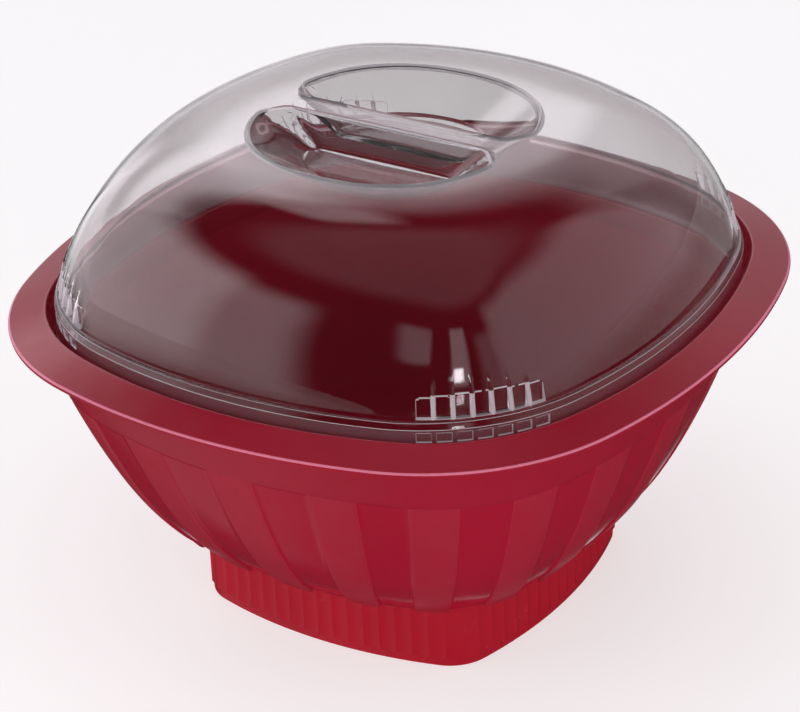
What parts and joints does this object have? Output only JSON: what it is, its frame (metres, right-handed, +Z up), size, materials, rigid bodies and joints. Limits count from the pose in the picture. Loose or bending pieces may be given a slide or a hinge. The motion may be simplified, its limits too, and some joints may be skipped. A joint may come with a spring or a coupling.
{
  "type": "popcorn maker",
  "caption": "Microwave popcorn maker: rounded-square popping bowl with a wide flange and a foot skirt, and a clear vented dome lid with a two-pocket finger grip.",
  "frame": {"origin": "centre of the foot skirt, on the surface that it stands on", "axes": "+Z up through the bowl's mouth and the lid's crown; the lid's grip web runs along X; each side of the bowl faces X or Y"},
  "size_m": [0.27, 0.27, 0.1853],
  "materials": {
    "bowl_plastic": "deep crimson moulded polypropylene, satin flange, matte panels between glossy bands",
    "lid_plastic": "clear moulded plastic with a faint grey tint, polished"
  },
  "bodies": {
    "bowl": {"bowl": "bowl_plastic"},
    "lid": {"lid": "lid_plastic"}
  },
  "joints": [
    {"name": "lid_lift", "type": "slide", "parent": "bowl", "child": "lid", "axis": [0, 0, 1], "range_m": [0, 0.12]}
  ]
}
